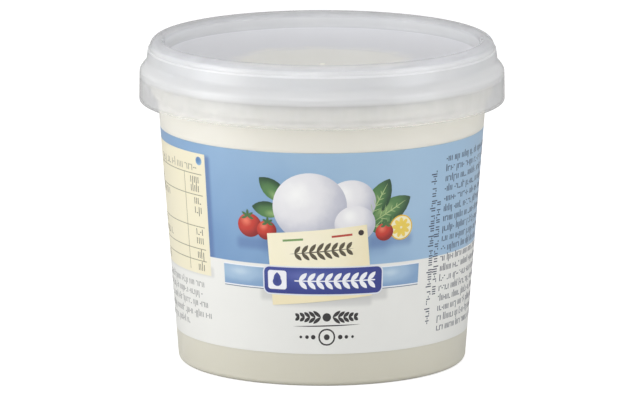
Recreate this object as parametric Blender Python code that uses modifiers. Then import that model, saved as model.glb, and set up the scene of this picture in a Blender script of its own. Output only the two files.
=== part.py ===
"""A round snap-lid tub of burrata: a tapered pot, its lid, a printed sleeve, and the cheese in its milky whey.

Every piece is turned about +Z. The origin is the centre of the base, +Z is up, and the printed front faces -Y.
Lengths below are in millimetres, and become metres where a profile is made into a mesh.
"""

import math

import bpy
from mathutils import Vector

MM = 0.001
MERGE = 0.00005
TURN_STEPS = 64
FOOD_STEPS = 48
TOUCH_GAP = 0.3

# The pot: a drafted wall on a ring foot, with a collar and a turned-down lip under its rim
BASE_RADIUS = 38.3
BASE_CORNER = 1.6
DRAFT = 0.0763
POT_WALL = 1.1
POT_FLOOR = 1.8
FLOOR_CORNER = 2.4
FOOT_WIDTH = 4.0
FOOT_HEIGHT = 0.8
RIM_TOP = 79.4
RIM_RADIUS = 47.1
RIM_BEVEL = 1.3
MOUTH_BEVEL = 0.4
LIP_BOTTOM = 76.2
LIP_WALL = 0.9
LIP_HOLLOW_TOP = 78.1
COLLAR_RADIUS = 45.3
COLLAR_BOTTOM = 71.8

# The printed sleeve, let into the pot's wall
SLEEVE_BOTTOM = 8.9
SLEEVE_TOP = 63.1
SLEEVE_THICKNESS = 0.25

# The lid: a panel dished down to a centre disc, a raised hollow ring for stacking, a skirt that snaps under the lip
LID_WALL = 0.9
PANEL_RIM_Z = 81.9
PANEL_RADIUS = 40.9
PANEL_FILLET = 1.0
DISC_RADIUS = 24.8
DISC_Z = 79.3
CREST_Z = 86.5
CREST_RADIUS = 43.3
RING_INNER_RADIUS = 41.9
RING_INNER_Z = 84.9
RING_RADIUS = 46.05
RING_SHOULDER_Z = 83.6
FLARE_RADIUS = 46.5
FLARE_TOP = 81.2
SKIRT_RADIUS = 48.5
SKIRT_DRAFT = 0.08
SKIRT_TOP = 77.6
SKIRT_BOTTOM = 70.0
SKIRT_EDGE = 0.3
BEAD_HEIGHT = 75.2
BEAD_REACH = 0.7
PLUG_CLEARANCE = 0.5
PLUG_TAPER = 0.3
PLUG_BOTTOM = 77.6
PLUG_CORNER = 0.6

# The food: a burrata pressed flat under the lid's disc, in whey up to a little under the rim
WHEY_LEVEL = 75.0
CHEESE_RADIUS = 32.0
CHEESE_WAIST_Z = 55.0
CROWN_Z = 83.5
BELLY_Z = 31.5
CROWN_POWER = 3.0
BELLY_POWER = 2.1


def wall_radius(z):
    """The pot's outer radius at height z, above the rounded bottom corner."""
    return BASE_RADIUS + (z - BASE_CORNER) * DRAFT


def bow(centre, across, up, start, end, count):
    """Points on an elliptical bow, as (radius, height), from angle start to end in degrees, 90 being straight up."""
    angles = [math.radians(start + (end - start) * i / (count - 1)) for i in range(count)]
    return [(centre[0] + across * math.cos(a), centre[1] + up * math.sin(a)) for a in angles]


def flare(first, last, count):
    """Points on an S-shaped flare whose ends run straight up or down."""
    shares = [i / (count - 1) for i in range(count)]
    eases = [0.5 - 0.5 * math.cos(math.pi * s) for s in shares]
    reach = last[0] - first[0]
    rise = last[1] - first[1]
    return [(first[0] + reach * e, first[1] + rise * s) for e, s in zip(eases, shares)]


def cheese_radius(z, grow=0.0):
    """The burrata's radius at height z: a full belly below the waist and a flatter crown above it."""
    above = z >= CHEESE_WAIST_Z
    reach = (CROWN_Z - CHEESE_WAIST_Z if above else CHEESE_WAIST_Z - BELLY_Z) + grow
    power = CROWN_POWER if above else BELLY_POWER
    share = min(abs(z - CHEESE_WAIST_Z) / reach, 1.0)
    return (CHEESE_RADIUS + grow) * (1.0 - share**power) ** (1.0 / power)


def cheese_side(z_from, z_to, count, grow=0.0):
    """Points along the burrata's side, closer together near both ends."""
    eases = [0.5 - 0.5 * math.cos(math.pi * i / (count - 1)) for i in range(count)]
    heights = [z_from + (z_to - z_from) * e for e in eases]
    return [(cheese_radius(z, grow), z) for z in heights]


def pot_profile():
    """Floor inside, up the inner wall, over the rim and its lip, down the outer wall and under the foot."""
    corner_z = POT_FLOOR + FLOOR_CORNER
    corner_radius = wall_radius(corner_z) - POT_WALL - FLOOR_CORNER
    mouth = wall_radius(RIM_TOP) - POT_WALL
    inside = [(0.0, POT_FLOOR)]
    inside += bow((corner_radius, corner_z), FLOOR_CORNER, FLOOR_CORNER, -90, 0, 4)
    rim = [
        (mouth, RIM_TOP - MOUTH_BEVEL),
        (mouth + MOUTH_BEVEL, RIM_TOP),
        (RIM_RADIUS - RIM_BEVEL, RIM_TOP),
        (RIM_RADIUS, RIM_TOP - RIM_BEVEL),
        (RIM_RADIUS, LIP_BOTTOM),
        (RIM_RADIUS - LIP_WALL, LIP_BOTTOM),
        (RIM_RADIUS - LIP_WALL, LIP_HOLLOW_TOP),
        (COLLAR_RADIUS, LIP_HOLLOW_TOP),
        (COLLAR_RADIUS, COLLAR_BOTTOM),
    ]
    recess = SLEEVE_THICKNESS + TOUCH_GAP
    top = SLEEVE_TOP + TOUCH_GAP
    bottom = SLEEVE_BOTTOM - TOUCH_GAP
    outside = [
        (wall_radius(COLLAR_BOTTOM), COLLAR_BOTTOM),
        (wall_radius(top), top),
        (wall_radius(top) - recess, top),
        (wall_radius(bottom) - recess, bottom),
        (wall_radius(bottom), bottom),
    ]
    foot_outer = BASE_RADIUS - BASE_CORNER
    foot_inner = foot_outer - FOOT_WIDTH
    outside += bow((foot_outer, BASE_CORNER), BASE_CORNER, BASE_CORNER, 0, -90, 5)
    foot = [(foot_inner, 0.0), (foot_inner - FOOT_HEIGHT, FOOT_HEIGHT), (0.0, FOOT_HEIGHT)]
    return inside + rim + outside + foot


def lid_top():
    """The lid from above: disc, dished panel, raised ring, flare and skirt."""
    top = [(0.0, DISC_Z), (DISC_RADIUS, DISC_Z)]
    top += bow((PANEL_RADIUS, PANEL_RIM_Z + PANEL_FILLET), PANEL_FILLET, PANEL_FILLET, -90, 0, 4)
    inner_across = CREST_RADIUS - RING_INNER_RADIUS
    top += bow((CREST_RADIUS, RING_INNER_Z), inner_across, CREST_Z - RING_INNER_Z, 180, 90, 4)
    outer_across = RING_RADIUS - CREST_RADIUS
    top += bow((CREST_RADIUS, RING_SHOULDER_Z), outer_across, CREST_Z - RING_SHOULDER_Z, 90, 0, 6)[1:]
    top += flare((FLARE_RADIUS, FLARE_TOP), (SKIRT_RADIUS - SKIRT_DRAFT, SKIRT_TOP), 5)
    return top + [(SKIRT_RADIUS, SKIRT_BOTTOM + SKIRT_EDGE), (SKIRT_RADIUS - SKIRT_EDGE, SKIRT_BOTTOM)]


def lid_underside():
    """The same walls from below: skirt with its snap bead, the ring's hollow, the plug and the dished panel."""
    skirt = SKIRT_RADIUS - LID_WALL
    under = [
        (skirt, SKIRT_BOTTOM),
        (skirt, BEAD_HEIGHT - BEAD_REACH),
        (skirt - BEAD_REACH, BEAD_HEIGHT),
        (skirt, BEAD_HEIGHT + BEAD_REACH),
    ]
    under += flare((skirt, SKIRT_TOP + 0.25 * LID_WALL), (FLARE_RADIUS - LID_WALL, FLARE_TOP - 0.25 * LID_WALL), 5)
    hollow_across = RING_RADIUS - LID_WALL - CREST_RADIUS
    hollow_up = CREST_Z - RING_SHOULDER_Z - LID_WALL
    under += bow((CREST_RADIUS, RING_SHOULDER_Z), hollow_across, hollow_up, 0, 90, 4)
    plug = wall_radius(RIM_TOP) - POT_WALL - PLUG_CLEARANCE
    plug_foot = plug - PLUG_TAPER
    plug_inside = plug_foot - LID_WALL
    panel = PANEL_RIM_Z - LID_WALL
    under += [
        (plug, RING_INNER_Z),
        (plug_foot, PLUG_BOTTOM),
        (plug_inside, PLUG_BOTTOM),
        (plug_inside, panel - PLUG_CORNER),
        (plug_inside - PLUG_CORNER, panel),
        (DISC_RADIUS, DISC_Z - LID_WALL),
        (0.0, DISC_Z - LID_WALL),
    ]
    return under


def sleeve_profile():
    """A thin closed band, its outer face flush with the pot's wall."""
    top = wall_radius(SLEEVE_TOP)
    bottom = wall_radius(SLEEVE_BOTTOM)
    outer = [(top, SLEEVE_TOP), (bottom, SLEEVE_BOTTOM)]
    inner = [(bottom - SLEEVE_THICKNESS, SLEEVE_BOTTOM), (top - SLEEVE_THICKNESS, SLEEVE_TOP)]
    return outer + inner


def cheese_profile():
    """The burrata from its crown, flattened by the lid's disc, down to its round bottom."""
    flat = DISC_Z - LID_WALL - TOUCH_GAP
    crown = cheese_side(flat, CHEESE_WAIST_Z, 7)
    belly = cheese_side(CHEESE_WAIST_Z, BELLY_Z, 8)
    return [(0.0, flat)] + crown + belly[1:]


def whey_profile():
    """The whey: the hollow round the burrata from its bottom up, the level, then down inside the pot's wall."""
    low = BELLY_Z - TOUCH_GAP
    hollow = cheese_side(low, CHEESE_WAIST_Z, 8, TOUCH_GAP)
    hollow += cheese_side(CHEESE_WAIST_Z, WHEY_LEVEL, 6, TOUCH_GAP)[1:]
    inset = POT_WALL + TOUCH_GAP
    floor = POT_FLOOR + TOUCH_GAP
    corner_z = floor + FLOOR_CORNER
    corner_radius = wall_radius(corner_z) - inset - FLOOR_CORNER
    outside = [(wall_radius(WHEY_LEVEL) - inset, WHEY_LEVEL)]
    outside += bow((corner_radius, corner_z), FLOOR_CORNER, FLOOR_CORNER, 0, -90, 4)
    return hollow + outside + [(0.0, floor)]


def plain_material(name, colour, roughness):
    """A Principled material of one colour."""
    material = bpy.data.materials.new(name)
    material.use_nodes = True
    shader = material.node_tree.nodes["Principled BSDF"]
    shader.inputs["Base Color"].default_value = (*colour, 1.0)
    shader.inputs["Roughness"].default_value = roughness
    shader.inputs["Metallic"].default_value = 0.0
    return material


def turned(name, profile, steps, material, collection, closed=False):
    """A turned piece: the profile in the XZ plane with a Screw modifier about Z."""
    points = [Vector((radius * MM, 0.0, z * MM)) for radius, z in profile]
    edges = [(i, i + 1) for i in range(len(points) - 1)]
    if closed:
        edges.append((len(points) - 1, 0))
    mesh = bpy.data.meshes.new(name)
    mesh.from_pydata(points, edges, [])
    mesh.materials.append(material)
    piece = bpy.data.objects.new(name, mesh)
    collection.objects.link(piece)
    screw = piece.modifiers.new("turn", "SCREW")
    screw.axis = "Z"
    screw.angle = math.tau
    screw.screw_offset = 0.0
    screw.steps = steps
    screw.render_steps = steps
    screw.use_merge_vertices = True
    screw.merge_threshold = MERGE
    screw.use_smooth_shade = True
    return piece


def clear_scene():
    """Removes what the scene holds before the tub is made."""
    for existing in list(bpy.data.objects):
        bpy.data.objects.remove(existing, do_unlink=True)


def main():
    clear_scene()
    collection = bpy.data.collections.new("burrata_tub")
    bpy.context.scene.collection.children.link(collection)
    pot_plastic = plain_material("pot_plastic", (0.80, 0.79, 0.74), 0.35)
    lid_plastic = plain_material("lid_plastic", (0.64, 0.66, 0.68), 0.30)
    sleeve_print = plain_material("sleeve_print", (0.30, 0.45, 0.62), 0.35)
    milky_whey = plain_material("milky_whey", (0.80, 0.77, 0.66), 0.25)
    cheese_skin = plain_material("cheese_skin", (0.86, 0.83, 0.74), 0.40)
    turned("pot", pot_profile(), TURN_STEPS, pot_plastic, collection)
    turned("lid", lid_top() + lid_underside(), TURN_STEPS, lid_plastic, collection)
    turned("sleeve", sleeve_profile(), TURN_STEPS, sleeve_print, collection, closed=True)
    turned("whey", whey_profile(), FOOD_STEPS, milky_whey, collection)
    turned("burrata", cheese_profile(), FOOD_STEPS, cheese_skin, collection)


main()
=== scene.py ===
"""Dresses a lidded tub of burrata: frosted pot and snap lid, printed sleeve, milky whey and the cheese in it.

Sizes are in millimetres, and become metres where a mesh is finished. The tub stands on the origin, its axis is +Z and
its printed front faces -Y. Print is drawn flat first, as millimetres across (round the pot at mid height, to the right
of the front) and up, on a sheet that is then wrapped on the pot's cone.
"""

import itertools
import logging
import math
import random
from dataclasses import dataclass
from enum import Enum

import bmesh
import bpy
from mathutils import Matrix, Vector, noise


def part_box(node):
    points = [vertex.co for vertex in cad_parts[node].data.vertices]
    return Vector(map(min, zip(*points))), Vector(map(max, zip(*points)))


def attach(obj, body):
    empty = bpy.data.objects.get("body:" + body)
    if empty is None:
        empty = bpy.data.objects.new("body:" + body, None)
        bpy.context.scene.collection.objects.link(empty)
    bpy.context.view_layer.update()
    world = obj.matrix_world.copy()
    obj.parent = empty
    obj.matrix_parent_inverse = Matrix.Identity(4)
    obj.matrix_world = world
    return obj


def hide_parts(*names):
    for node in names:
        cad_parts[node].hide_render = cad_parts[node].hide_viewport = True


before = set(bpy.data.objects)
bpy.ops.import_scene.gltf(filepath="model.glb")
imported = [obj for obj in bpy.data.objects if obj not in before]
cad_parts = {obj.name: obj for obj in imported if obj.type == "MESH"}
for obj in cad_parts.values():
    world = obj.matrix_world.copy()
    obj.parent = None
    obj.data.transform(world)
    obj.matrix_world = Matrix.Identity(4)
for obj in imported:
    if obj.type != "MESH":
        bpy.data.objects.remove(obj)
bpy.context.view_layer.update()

LOG = logging.getLogger("burrata_tub")
ROOT = "root"

MM = 0.001
MERGE = 0.02
FINE_STEPS = 256
FOOD_STEPS = 192
SHARP_ANGLE = math.radians(38)
MOTIF_MAP = "motif"
BOTH_SIDES = (-1.0, 1.0)

Colour = tuple[float, float, float]
Point = tuple[float, float]
Socket = bpy.types.NodeSocket
Signal = Socket | Colour | float


def srgb(red: int, green: int, blue: int) -> Colour:
    """Turns a display colour into the linear values that shaders use.

    Args:
        red: Display value from 0 to 255.
        green: Display value from 0 to 255.
        blue: Display value from 0 to 255.

    Returns:
        The linear colour.
    """
    shares = [channel / 255 for channel in (red, green, blue)]
    return tuple(s / 12.92 if s <= 0.04045 else ((s + 0.055) / 1.055) ** 2.4 for s in shares)


def node_box(node: str) -> tuple[Vector, Vector]:
    """Gives the lowest and highest corner of a CAD node in millimetres."""
    low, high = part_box(node)
    return low / MM, high / MM


def along(start: Point, distance: float, tilt: float) -> Point:
    """Goes a distance from a flat point, at a tilt in degrees."""
    turn = math.radians(tilt)
    return (start[0] + distance * math.cos(turn), start[1] + distance * math.sin(turn))


# The print sheet


@dataclass(frozen=True)
class PrintSheet:
    """The flat sheet that print is drawn on, and the cone that it wraps."""

    base_radius: float
    base_height: float
    top_radius: float
    top_height: float
    step: float = 0.012
    depth: float = 0.06
    strip: float = 1.2

    @property
    def radius(self) -> float:
        """The cone's radius at the sheet's mid height, at which millimetres across are true."""
        return self.radius_at((self.base_height + self.top_height) / 2)

    def radius_at(self, height: float) -> float:
        """Gives the cone's radius at a height."""
        share = (height - self.base_height) / (self.top_height - self.base_height)
        return self.base_radius + (self.top_radius - self.base_radius) * share

    def wrap(self, across: float, up: float, lift: float) -> Vector:
        """Places a flat point on the cone.

        Args:
            across: Millimetres to the right of the front.
            up: Height in millimetres.
            lift: Millimetres out from the cone.

        Returns:
            The place in metres.
        """
        angle = across / self.radius
        radius = self.radius_at(up) + lift
        return Vector((radius * math.sin(angle), -radius * math.cos(angle), up)) * MM


def measured_sheet() -> PrintSheet:
    """Reads the sleeve's cone from its CAD node.

    Returns:
        The sheet that print is drawn on.
    """
    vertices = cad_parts["sleeve"].data.vertices
    radii = [(v.co.z / MM, v.co.xy.length / MM) for v in vertices]
    low = min(z for z, _ in radii)
    high = max(z for z, _ in radii)
    middle = (low + high) / 2
    base = max(r for z, r in radii if z < middle)
    top = max(r for z, r in radii if z > middle)
    return PrintSheet(base, low, top, high)


SHEET = measured_sheet()


# Wiring of shader nodes


class Wiring:
    """Adds nodes to one tree and joins them, so that a material reads as a short recipe."""

    def __init__(self, tree: bpy.types.NodeTree) -> None:
        """Keeps the tree that the nodes go in."""
        self.tree = tree

    def feed(self, socket: Socket, value: Signal) -> None:
        """Joins a result to a socket, or sets the socket to a fixed value.

        Args:
            socket: The input socket.
            value: Another node's output, a colour or a number.
        """
        if isinstance(value, Socket):
            self.tree.links.new(value, socket)
        elif socket.type == "RGBA":
            socket.default_value = (*value, 1.0)
        else:
            socket.default_value = value

    def add(self, kind: str, inputs: dict[str | int, Signal] | None = None, **settings: object) -> bpy.types.Node:
        """Adds a node.

        Args:
            kind: The node's type name.
            inputs: What each named or numbered input is fed.
            settings: The node's own properties.

        Returns:
            The new node.
        """
        node = self.tree.nodes.new(kind)
        for name, setting in settings.items():
            setattr(node, name, setting)
        for key, value in (inputs or {}).items():
            self.feed(node.inputs[key], value)
        return node

    def group(self, tree: bpy.types.NodeTree, inputs: dict[str, Signal]) -> bpy.types.NodeOutputs:
        """Places a node group with its own values and gives its outputs."""
        return self.add("ShaderNodeGroup", inputs, node_tree=tree).outputs

    def math(self, operation: str, *values: Signal) -> Socket:
        """Adds a Math node and gives its result."""
        return self.add("ShaderNodeMath", dict(enumerate(values)), operation=operation).outputs[0]

    def ramp(self, value: Signal, low: float, high: float, to_low: float = 0.0, to_high: float = 1.0) -> Socket:
        """Maps a value smoothly from one range to another and gives the result."""
        inputs = {"Value": value, "From Min": low, "From Max": high, "To Min": to_low, "To Max": to_high}
        return self.add("ShaderNodeMapRange", inputs, interpolation_type="SMOOTHSTEP").outputs["Result"]

    def rise(self, value: Signal, start: float, width: float) -> Socket:
        """Gives 0 up to a start, and 1 from a width further on."""
        return self.ramp(value, start, start + width)

    def fade(self, value: Signal, end: float, width: float) -> Socket:
        """Gives 1 up to a width before an end, and 0 from that end on."""
        return self.ramp(value, end - width, end, 1.0, 0.0)

    def blend(self, share: Signal, first: Signal, second: Signal, how: str = "MIX") -> Socket:
        """Mixes two colours by a share and gives the result."""
        inputs = {"Factor": share, 6: first, 7: second}
        return self.add("ShaderNodeMix", inputs, data_type="RGBA", blend_type=how).outputs[2]

    def average(self, share: float, first: Signal, second: Signal) -> Socket:
        """Gives the mean of two values, in which the first one weighs its share."""
        return self.math("MULTIPLY_ADD", first, share, self.math("MULTIPLY", second, 1.0 - share))

    def sway(self, value: Signal, pattern: Signal, reach: Signal) -> Socket:
        """Moves a value up and down by half a reach, with a pattern that runs from 0 to 1."""
        return self.math("MULTIPLY_ADD", self.math("SUBTRACT", pattern, 0.5), reach, value)

    def length(self, across: Signal, up: Signal) -> Socket:
        """Gives the length of a flat arrow."""
        squares = [self.math("MULTIPLY", part, part) for part in (across, up)]
        return self.math("SQRT", self.math("ADD", *squares))

    def place(self) -> dict[str, Socket]:
        """Reads Object coordinates in millimetres.

        Returns:
            The coordinate along each axis.
        """
        where = self.add("ShaderNodeTexCoord").outputs["Object"]
        metres = self.add("ShaderNodeSeparateXYZ", {"Vector": where}).outputs
        return {axis: self.math("DIVIDE", metres[axis], MM) for axis in "XYZ"}

    def noise(self, size_mm: float, detail: float = 2.0, stretch: Colour = (1.0, 1.0, 1.0)) -> Socket:
        """Adds noise on Object coordinates.

        Args:
            size_mm: The rough size of its blotches.
            detail: How many finer octaves it has.
            stretch: How much closer together the blotches are along each axis.

        Returns:
            The noise value, from 0 to 1.
        """
        place = self.add("ShaderNodeTexCoord").outputs["Object"]
        scaled = self.add("ShaderNodeMapping", {"Vector": place, "Scale": stretch}).outputs["Vector"]
        inputs = {"Vector": scaled, "Scale": 1.0 / (size_mm * MM), "Detail": detail}
        return self.add("ShaderNodeTexNoise", inputs).outputs["Fac"]


class SocketKind(Enum):
    """What a node group's socket carries."""

    VALUE = "NodeSocketFloat"
    COLOUR = "NodeSocketColor"


class GroupMaker(Wiring):
    """The wiring of one shader node group."""

    def __init__(self, name: str, inputs: dict[str, SocketKind], outputs: dict[str, SocketKind]) -> None:
        """Makes the group's tree and its sockets.

        Args:
            name: The group's name.
            inputs: The kind of each input, by name.
            outputs: The kind of each output, by name.
        """
        super().__init__(bpy.data.node_groups.new(name, "ShaderNodeTree"))
        for direction, sockets in (("INPUT", inputs), ("OUTPUT", outputs)):
            for socket, kind in sockets.items():
                self.tree.interface.new_socket(name=socket, in_out=direction, socket_type=kind.value)
        self.inlet = self.add("NodeGroupInput").outputs
        self.outlet = self.add("NodeGroupOutput").inputs

    def give(self, **results: Socket) -> bpy.types.NodeTree:
        """Joins results to the group's outputs.

        Args:
            results: The result for each output, by name.

        Returns:
            The finished tree.
        """
        for name, result in results.items():
            self.feed(self.outlet[name], result)
        return self.tree


class Effects:
    """The shader effects that several materials share, each built once."""

    PANEL_INPUTS = ("Across", "Up", "Centre Across", "Centre Up", "Half Width", "Half Height", "Softness")

    def __init__(self) -> None:
        """Builds every shared group."""
        self.moulding = self._moulding()
        self.print_grain = self._print_grain()
        self.sheet_place = self._sheet_place()
        self.soft_panel = self._soft_panel()
        self.round_shade = self._round_shade()

    @staticmethod
    def _moulding() -> bpy.types.NodeTree:
        """Makes the cloudy tone and the fine orange-peel relief of moulded polypropylene.

        Returns:
            The group.
        """
        outputs = {"Tone": SocketKind.VALUE, "Height": SocketKind.VALUE}
        w = GroupMaker("moulding", {"Cloud Share": SocketKind.VALUE}, outputs)
        cloud = w.noise(9.0, 3.0, (1.0, 1.0, 0.45))
        peel = w.noise(0.9)
        grain = w.noise(0.16, 1.0)
        return w.give(Tone=w.sway(0.5, cloud, w.inlet["Cloud Share"]), Height=w.average(0.25, grain, peel))

    @staticmethod
    def _print_grain() -> bpy.types.NodeTree:
        """Makes ink that is laid a little unevenly on film.

        Returns:
            The group.
        """
        inputs = {"Ink": SocketKind.COLOUR, "Mottle": SocketKind.VALUE}
        w = GroupMaker("print_grain", inputs, {"Colour": SocketKind.COLOUR, "Height": SocketKind.VALUE})
        fine = w.noise(0.22, 1.0)
        broad = w.noise(6.0)
        bright = w.sway(1.0, w.average(0.4, fine, broad), w.inlet["Mottle"])
        grey = w.add("ShaderNodeCombineColor", {"Red": bright, "Green": bright, "Blue": bright}).outputs["Color"]
        return w.give(Colour=w.blend(1.0, w.inlet["Ink"], grey, "MULTIPLY"), Height=fine)

    @staticmethod
    def _sheet_place() -> bpy.types.NodeTree:
        """Makes the place on the flat print sheet, in millimetres.

        Returns:
            The group.
        """
        w = GroupMaker("sheet_place", {}, {"Across": SocketKind.VALUE, "Up": SocketKind.VALUE})
        place = w.place()
        angle = w.math("ARCTAN2", place["X"], w.math("MULTIPLY", place["Y"], -1.0))
        return w.give(Across=w.math("MULTIPLY", angle, SHEET.radius), Up=place["Z"])

    @classmethod
    def _soft_panel(cls) -> bpy.types.NodeTree:
        """Makes a rectangle with a soft edge on the print sheet, for shadows.

        Returns:
            The group.
        """
        inputs = dict.fromkeys(cls.PANEL_INPUTS, SocketKind.VALUE)
        w = GroupMaker("soft_panel", inputs, {"Mask": SocketKind.VALUE})
        beyond = []
        for way, half in (("Across", "Half Width"), ("Up", "Half Height")):
            apart = w.math("ABSOLUTE", w.math("SUBTRACT", w.inlet[way], w.inlet[f"Centre {way}"]))
            beyond.append(w.math("MAXIMUM", w.math("SUBTRACT", apart, w.inlet[half]), 0.0))
        share = w.math("DIVIDE", w.length(*beyond), w.inlet["Softness"])
        return w.give(Mask=w.fade(share, 1.0, 1.0))

    @staticmethod
    def _round_shade() -> bpy.types.NodeTree:
        """Makes shade that lets a flat printed shape look round, lit from its upper left.

        Returns:
            The group.
        """
        inputs = dict.fromkeys(("Light", "Body", "Shade"), SocketKind.COLOUR)
        w = GroupMaker("round_shade", inputs, {"Colour": SocketKind.COLOUR})
        place = w.add("ShaderNodeUVMap", uv_map=MOTIF_MAP).outputs["UV"]
        xyz = w.add("ShaderNodeSeparateXYZ", {"Vector": place}).outputs
        from_light = w.length(w.math("ADD", xyz["X"], 0.3), w.math("SUBTRACT", xyz["Y"], 0.4))
        away = w.math("MULTIPLY_ADD", w.noise(2.4), 0.25, from_light)
        lit = w.blend(w.ramp(away, 0.1, 0.75), w.inlet["Light"], w.inlet["Body"])
        return w.give(Colour=w.blend(w.ramp(away, 0.7, 1.5), lit, w.inlet["Shade"]))


EFFECTS = Effects()


# Finishes


class Recipe(Wiring):
    """The wiring of one Principled material."""

    def __init__(self, name: str, fixed: dict[str, float | Colour]) -> None:
        """Makes the material.

        Args:
            name: Its name.
            fixed: What is the same all over it, by the names of the shader's own sockets.
        """
        self.material = bpy.data.materials.new(name)
        self.material.use_nodes = True
        super().__init__(self.material.node_tree)
        self.shader = self.tree.nodes["Principled BSDF"]
        for socket, value in fixed.items():
            self.shader.inputs[socket].default_value = value

    def join(self, socket: str, result: Socket) -> None:
        """Joins what varies over the surface to one of the shader's sockets."""
        self.feed(self.shader.inputs[socket], result)

    def relief(self, height: Socket, depth_mm: float, strength: float) -> None:
        """Gives the surface a fine relief."""
        bump = self.add("ShaderNodeBump", {"Height": height, "Distance": depth_mm * MM, "Strength": strength})
        self.join("Normal", bump.outputs["Normal"])

    def ink(self, colour: Signal, mottle: float) -> None:
        """Lays ink with its uneven grain on the surface.

        Args:
            colour: The ink's colour.
            mottle: How much lighter and darker it gets.
        """
        grain = self.group(EFFECTS.print_grain, {"Ink": colour, "Mottle": mottle})
        self.join("Base Color", grain["Colour"])
        self.relief(grain["Height"], 0.004, 0.35)


SATIN_FILM = {"Roughness": 0.36, "Coat Weight": 0.15, "Coat Roughness": 0.2}


class Shading(Enum):
    """How a printed shape is shaded."""

    FLAT = "flat"
    ROUND = "round"


@dataclass(frozen=True)
class InkFinish:
    """Ink on satin film, flat or shaded to look round."""

    name: str
    colour: Colour
    light: Colour = (1.0, 1.0, 1.0)
    shade: Colour = (0.0, 0.0, 0.0)
    shading: Shading = Shading.FLAT
    mottle: float = 0.08

    def material(self) -> bpy.types.Material:
        """Builds the finish.

        Returns:
            The material.
        """
        w = Recipe(self.name, SATIN_FILM)
        colour = self.colour
        if self.shading is Shading.ROUND:
            tones = {"Light": self.light, "Body": self.colour, "Shade": self.shade}
            colour = w.group(EFFECTS.round_shade, tones)["Colour"]
        w.ink(colour, self.mottle)
        return w.material


@dataclass(frozen=True)
class PlasticFinish:
    """Natural polypropylene: cloudy, see-through where it is thin, with a satin gloss."""

    name: str
    colour: Colour
    cloud: Colour
    opacity: float
    roughness: float
    soak: float = 1.0
    gloss: float = 0.5
    sheen_coat: float = 0.0
    peel: float = 0.02
    cloud_share: float = 1.4
    opacity_swing: float = 0.12

    def material(self) -> bpy.types.Material:
        """Builds the finish.

        Returns:
            The material.
        """
        fixed = {
            "Roughness": self.roughness,
            "IOR": 1.49,
            "Subsurface Weight": 0.8,
            "Subsurface Radius": (1.0, 1.0, 1.0),
            "Subsurface Scale": self.soak * MM,
            "Specular IOR Level": self.gloss,
            "Coat Weight": self.sheen_coat,
            "Coat Roughness": 0.12,
        }
        w = Recipe(self.name, fixed)
        moulding = w.group(EFFECTS.moulding, {"Cloud Share": self.cloud_share})
        colour = w.blend(moulding["Tone"], self.cloud, self.colour)
        opacity = w.sway(self.opacity, moulding["Tone"], self.opacity_swing)
        colour, opacity = self.tinted(w, colour, opacity)
        w.join("Base Color", colour)
        w.join("Alpha", opacity)
        w.relief(moulding["Height"], self.peel, 0.5)
        return w.material

    def tinted(self, w: Recipe, colour: Socket, opacity: Socket) -> tuple[Socket, Socket]:
        """Adds what one piece's plastic has of its own. Plain plastic has nothing.

        Args:
            w: The material's wiring. It is not used by plain plastic.
            colour: The plain plastic's colour.
            opacity: The plain plastic's opacity.

        Returns:
            The colour and the opacity of this piece.
        """
        return colour, opacity


@dataclass(frozen=True)
class PotFinish(PlasticFinish):
    """The pot's plastic, which takes on the whey's tint up to its level, with painted shade that makes it darker and
    yellower towards the bottom.
    """

    # The low tint is painted shade, darker and yellower towards the bottom; the high tint is the lit top.
    shaded_low_tint: Colour = srgb(221, 218, 204)
    lit_high_tint: Colour = srgb(241, 238, 228)
    low: float = 4.0
    high: float = 68.0
    drift: float = 10.0
    drift_size: float = 16.0
    level: float = 76.2
    level_fade: float = 1.2
    filled_opacity: float = 0.93

    def tinted(self, w: Recipe, colour: Socket, opacity: Socket) -> tuple[Socket, Socket]:
        """Adds the tint of the whey behind, with painted shade that darkens it towards the bottom, to the plain
        plastic.

        Args:
            w: The material's wiring.
            colour: The plain plastic's colour.
            opacity: The plain plastic's opacity.

        Returns:
            The colour and the opacity of the pot.
        """
        height = w.place()["Z"]
        uneven = w.sway(height, w.noise(self.drift_size, 2.0, (1.0, 1.0, 0.5)), self.drift)
        # Painted shade: the whey's tint darkens towards the bottom.
        milk_and_shade = w.blend(w.ramp(uneven, self.low, self.high), self.shaded_low_tint, self.lit_high_tint)
        filled = w.fade(height, self.level, self.level_fade)
        hidden = w.math("MULTIPLY", filled, self.filled_opacity)
        return w.blend(filled, colour, milk_and_shade), w.math("MAXIMUM", opacity, hidden)


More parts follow.
